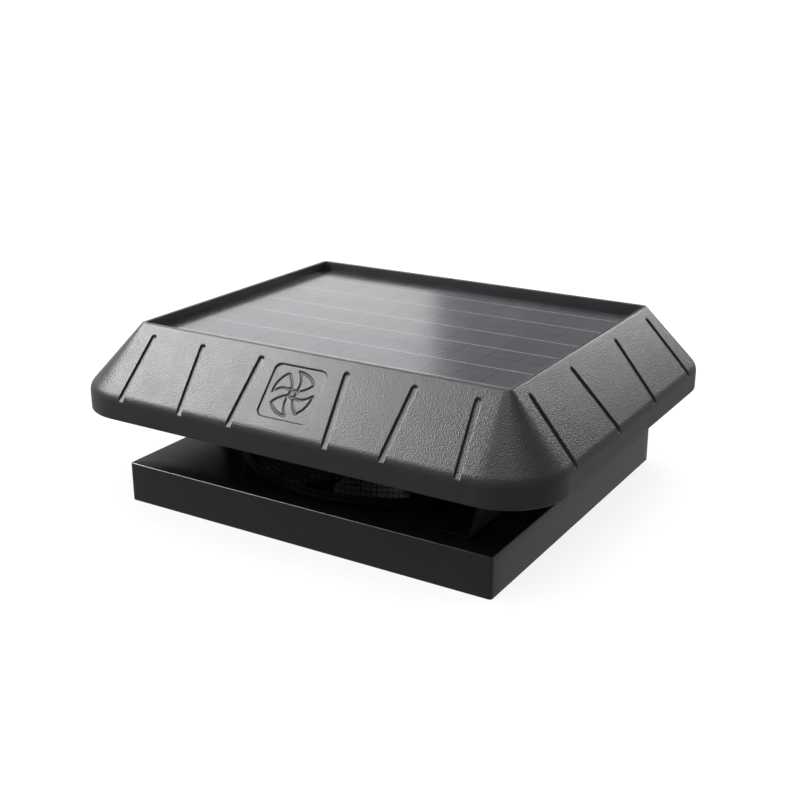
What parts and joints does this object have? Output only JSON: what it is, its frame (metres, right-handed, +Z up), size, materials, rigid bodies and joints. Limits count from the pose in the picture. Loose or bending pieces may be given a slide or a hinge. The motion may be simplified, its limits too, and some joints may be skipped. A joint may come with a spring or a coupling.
{
  "type": "solar attic fan",
  "caption": "Curb-mounted roof ventilator: a black moulded hood with a solar panel set in its top, over a fan in a square steel curb cap.",
  "frame": {"origin": "centre of the curb cap's foot, at the level of its lower edge", "axes": "+Z up, -Y the front with the badge, +X to the right seen from the front"},
  "size_m": [0.645, 0.539, 0.226],
  "materials": {
    "cap_paint": "gloss black powder coat on folded steel sheet",
    "foam": "closed-cell foam strip",
    "dark_paint": "satin black paint on steel",
    "screen_paint": "black coated steel mesh",
    "hood_plastic": "satin black moulded plastic with a fine pebble grain",
    "sealant": "black sealant bead",
    "backsheet": "black backsheet",
    "panel_glass": "tempered clear glass, smooth",
    "solar_cell": "dark monocrystalline silicon",
    "ribbon": "tinned copper ribbon",
    "box_plastic": "fine matt black plastic",
    "cable_jacket": "black cable jacket",
    "motor_paint": "satin black painted steel",
    "electrical_steel": "stacked electrical steel",
    "copper": "enamelled copper wire",
    "board": "green circuit board",
    "bearing_steel": "ground bearing steel",
    "zinc_steel": "zinc plated steel",
    "rubber": "soft black rubber",
    "magnet": "dark bonded magnet",
    "blade_aluminium": "pressed aluminium sheet"
  },
  "bodies": {
    "housing": {"curb_cap": "cap_paint", "curb_gasket": "foam", "throat_ring": "dark_paint", "outlet_screen": "screen_paint", "hood_shell": "hood_plastic", "panel_bedding": "sealant", "panel_backsheet": "backsheet", "panel_glass": "panel_glass", "cell_string_front": "solar_cell", "cell_string_middle": "solar_cell", "cell_string_back": "solar_cell", "bus_ribbon_front": "ribbon", "bus_ribbon_back": "ribbon", "junction_box": "box_plastic", "junction_box_lid": "box_plastic", "box_gland": "box_plastic", "motor_gland": "box_plastic", "motor_cable": "cable_jacket", "motor_bridge": "dark_paint", "motor_can": "motor_paint", "motor_cover": "motor_paint", "stator_core": "electrical_steel", "stator_winding": "copper", "driver_board": "board", "lower_bearing": "bearing_steel", "upper_bearing": "bearing_steel", "hood_bracket_front_right": "dark_paint", "bracket_screw_front_right": "zinc_steel", "hood_screw_front_right": "zinc_steel", "bridge_screw_front_right": "zinc_steel", "hood_bracket_front_left": "dark_paint", "bracket_screw_front_left": "zinc_steel", "hood_screw_front_left": "zinc_steel", "bridge_screw_front_left": "zinc_steel", "hood_bracket_back_right": "dark_paint", "bracket_screw_back_right": "zinc_steel", "hood_screw_back_right": "zinc_steel", "bridge_screw_back_right": "zinc_steel", "hood_bracket_back_left": "dark_paint", "bracket_screw_back_left": "zinc_steel", "hood_screw_back_left": "zinc_steel", "bridge_screw_back_left": "zinc_steel", "rubber_mount_1": "rubber", "motor_screw_1": "zinc_steel", "rubber_mount_2": "rubber", "motor_screw_2": "zinc_steel", "rubber_mount_3": "rubber", "motor_screw_3": "zinc_steel", "rubber_mount_4": "rubber", "motor_screw_4": "zinc_steel"},
    "rotor": {"motor_shaft": "zinc_steel", "rotor_magnet": "magnet", "fan_hub": "zinc_steel", "hub_nut": "zinc_steel", "fan_blade_1": "blade_aluminium", "fan_blade_2": "blade_aluminium", "fan_blade_3": "blade_aluminium", "fan_blade_4": "blade_aluminium", "fan_blade_5": "blade_aluminium"}
  },
  "joints": [
    {"name": "fan_spin", "type": "hinge", "parent": "housing", "child": "rotor", "pos_m": [0, 0, 0.09], "axis": [0, 0, 1], "continuous": true}
  ]
}
